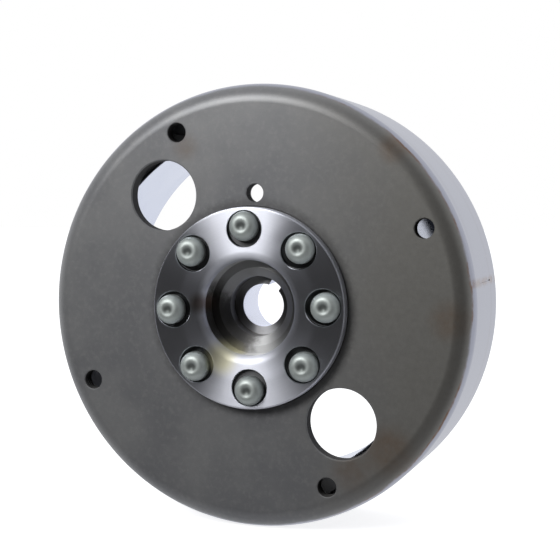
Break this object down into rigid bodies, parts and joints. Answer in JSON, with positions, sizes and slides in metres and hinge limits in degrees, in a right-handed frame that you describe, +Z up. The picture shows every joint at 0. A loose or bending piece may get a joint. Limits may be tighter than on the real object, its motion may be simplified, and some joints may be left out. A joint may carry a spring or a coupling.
{
  "type": "flywheel",
  "caption": "Drum-type magneto flywheel for a small engine: flat front wall with windows and rim holes, riveted bright hub with puller recess and keyed taper bore, magnets inside.",
  "frame": {"origin": "on the wheel's axis, in the plane of the inner face of the cup's front wall, which is the floor of the hub's puller recess", "axes": "+Y along the axis from the front wall to the open rear of the drum, +Z up, +X to the right seen from the front"},
  "size_m": [0.117, 0.04, 0.117],
  "materials": {
    "cup_steel": "matte dark grey, fine grained, with faint brown oxide",
    "hub_steel": "turned bright steel",
    "rivet_zinc": "zinc-plated satin, slightly green",
    "ferrite": "matte black ceramic",
    "stainless_sleeve": "bright rolled stainless sheet"
  },
  "bodies": {
    "root": {"rotor_cup": "cup_steel", "hub": "hub_steel", "rivet_1": "rivet_zinc", "rivet_2": "rivet_zinc", "rivet_3": "rivet_zinc", "rivet_4": "rivet_zinc", "rivet_5": "rivet_zinc", "rivet_6": "rivet_zinc", "rivet_7": "rivet_zinc", "rivet_8": "rivet_zinc", "magnet_1": "ferrite", "magnet_2": "ferrite", "magnet_3": "ferrite", "magnet_4": "ferrite", "magnet_5": "ferrite", "magnet_6": "ferrite", "magnet_7": "ferrite", "magnet_8": "ferrite", "magnet_9": "ferrite", "magnet_10": "ferrite", "magnet_11": "ferrite", "magnet_12": "ferrite", "magnet_retainer": "stainless_sleeve"}
  },
  "joints": []
}
